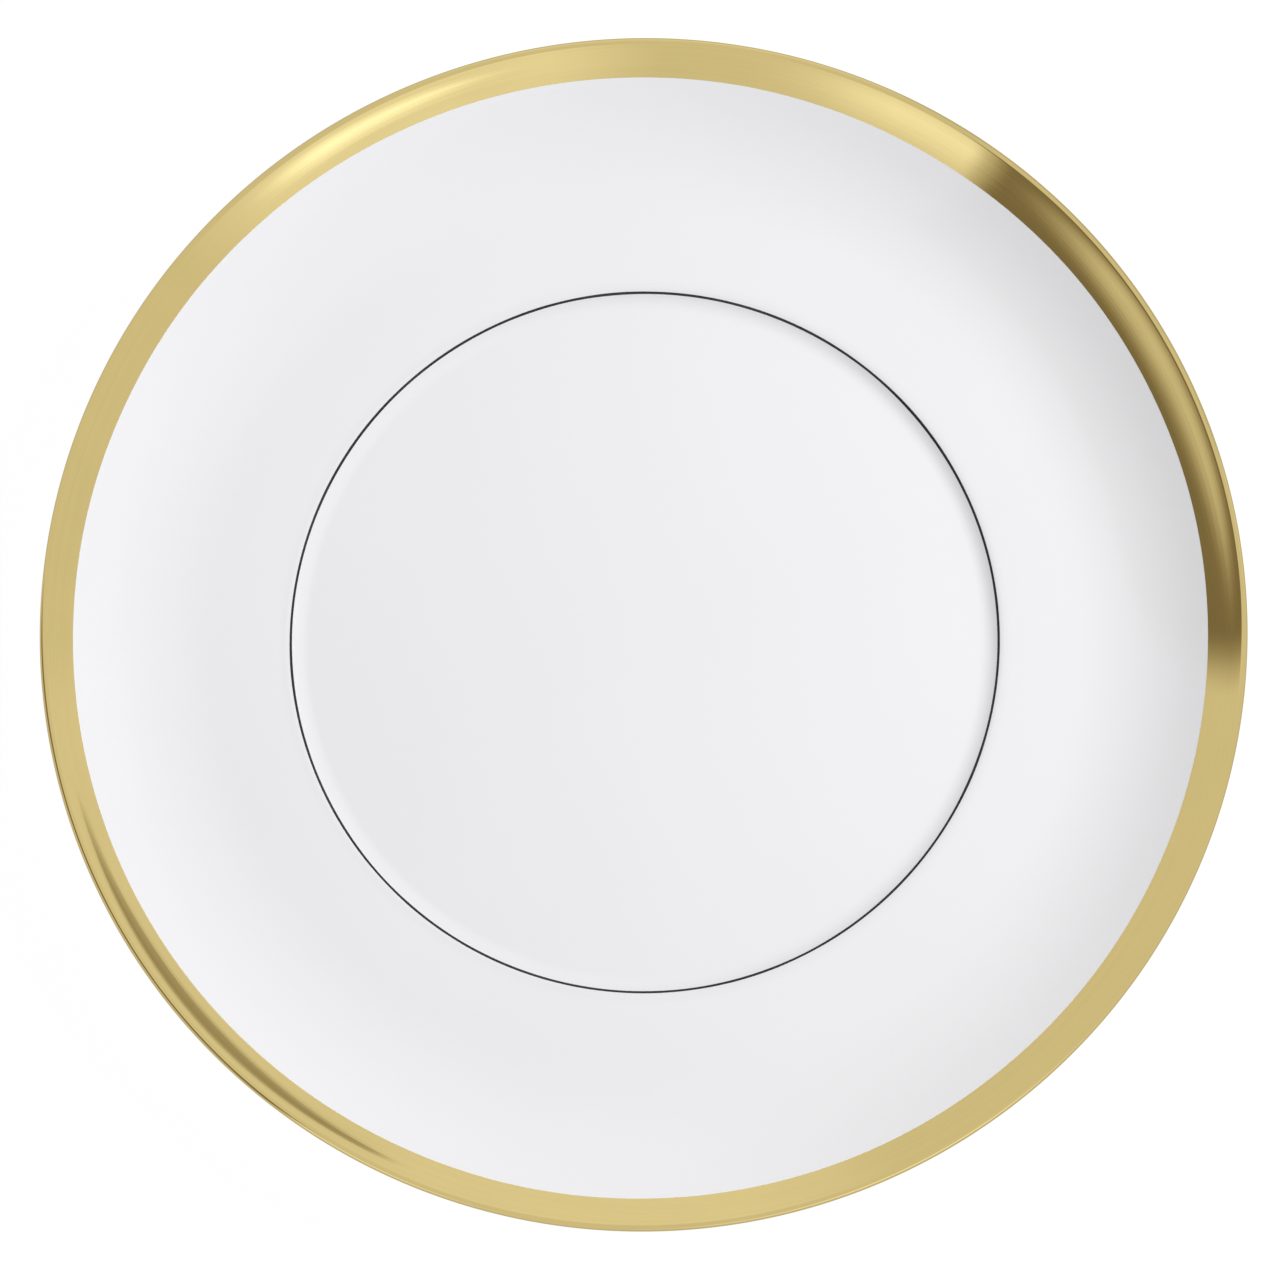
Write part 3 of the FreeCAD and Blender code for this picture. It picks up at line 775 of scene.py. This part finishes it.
KEY_COLOUR = (1.0, 0.98, 0.94)
KEY_BEARING = 18.0
KEY_ELEVATION = 44.0
KEY_DISTANCE = 1.0
KEY_WIDTH = 0.35
KEY_POWER = 5.55


def make_key_light():
    """A soft round lamp that lights the plate but isn't mirrored in it."""
    data = bpy.data.lights.new("key", "AREA")
    data.color = KEY_COLOUR
    data.shape = "DISK"
    data.size = KEY_WIDTH
    data.energy = KEY_POWER
    light = bpy.data.objects.new("key", data)
    light.location = from_plate(KEY_BEARING, KEY_ELEVATION, KEY_DISTANCE)
    light.rotation_mode = "QUATERNION"
    light.rotation_quaternion = (-light.location).to_track_quat("-Z", "Y")
    light.visible_camera = False
    light.visible_glossy = False
    bpy.context.scene.collection.objects.link(light)


FLOOR_GLOW = 0.93
FLOOR_COLOUR = (0.10, 0.10, 0.10, 1.0)
FLOOR_ROUGH = 0.9
FLOOR_REACH = 30.0      # metres
FLOOR_SIDES = 96
WHITE = (1.0, 1.0, 1.0, 1.0)


def floor_material():
    """Matt and lit from within, and clear when seen from below."""
    look = Look("lit_floor")
    look.give("Base Color", FLOOR_COLOUR)
    look.give("Roughness", FLOOR_ROUGH)
    look.give("Specular IOR Level", 0.0)
    look.give("Emission Color", WHITE)
    look.give("Emission Strength", FLOOR_GLOW)
    clear = look.add("ShaderNodeBsdfTransparent")
    below = look.add("ShaderNodeNewGeometry").outputs["Backfacing"]
    pick = look.add("ShaderNodeMixShader")
    look.feed(below, pick.inputs[0])
    look.feed(look.shader.outputs[0], pick.inputs[1])
    look.feed(clear.outputs[0], pick.inputs[2])
    look.feed(pick.outputs[0], look.tree.nodes["Material Output"].inputs["Surface"])
    return look.material


def make_floor():
    """A pale floor, burnt out by its own light as a lit sweep is."""
    mesh = bmesh.new()
    bmesh.ops.create_circle(mesh, cap_ends=True, radius=FLOOR_REACH, segments=FLOOR_SIDES)
    data = bpy.data.meshes.new("floor")
    mesh.to_mesh(data)
    mesh.free()
    data.materials.append(floor_material())
    floor = bpy.data.objects.new("floor", data)
    bpy.context.scene.collection.objects.link(floor)
    floor.visible_glossy = False


CAMERA_DISTANCE = 3.0
CAMERA_BEARING = -82.4
CAMERA_TILT = 9.0       # degrees off straight down
CAMERA_FIELD = 0.2859   # width of the picture at the lip, metres
CAMERA_AIM = (-0.00068, -0.00226)
CAMERA_REACH = 50.0     # how far it sees, metres
SENSOR = 36.0


def make_camera(lip_height):
    data = bpy.data.cameras.new("camera")
    data.sensor_width = SENSOR
    data.lens = SENSOR * CAMERA_DISTANCE / CAMERA_FIELD
    data.clip_end = CAMERA_REACH
    camera = bpy.data.objects.new("camera", data)
    aim = Vector((*CAMERA_AIM, lip_height))
    back = from_plate(CAMERA_BEARING, 90.0 - CAMERA_TILT, CAMERA_DISTANCE)
    right = Vector((0.0, 1.0, 0.0)).cross(back).normalized()
    up = back.normalized().cross(right)
    turned = Matrix((right, up, back.normalized())).transposed()
    camera.location = aim + back
    camera.rotation_mode = "QUATERNION"
    camera.rotation_quaternion = turned.to_quaternion()
    bpy.context.scene.collection.objects.link(camera)
    bpy.context.scene.camera = camera


# ------------------------------------------------------------------- all of it

def put_on(piece, node, material):
    piece.data.materials.append(material)
    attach(piece, "root")
    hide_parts(node)


def make_plate():
    glaze = glaze_material()
    put_on(make_body(), "porcelain_body", bisque_material())
    put_on(make_face_glaze(), "outer_glaze", glaze)
    put_on(make_back_glaze(), "foot_well_glaze", glaze)
    put_on(make_gilding(), "gold_rim_band", gold_material())
    put_on(make_line(), "well_line", enamel_material())


make_plate()
make_floor()
make_world()
make_key_light()
make_camera(CAD_BOX[1].z)
bpy.context.scene.view_settings.view_transform = "Standard"
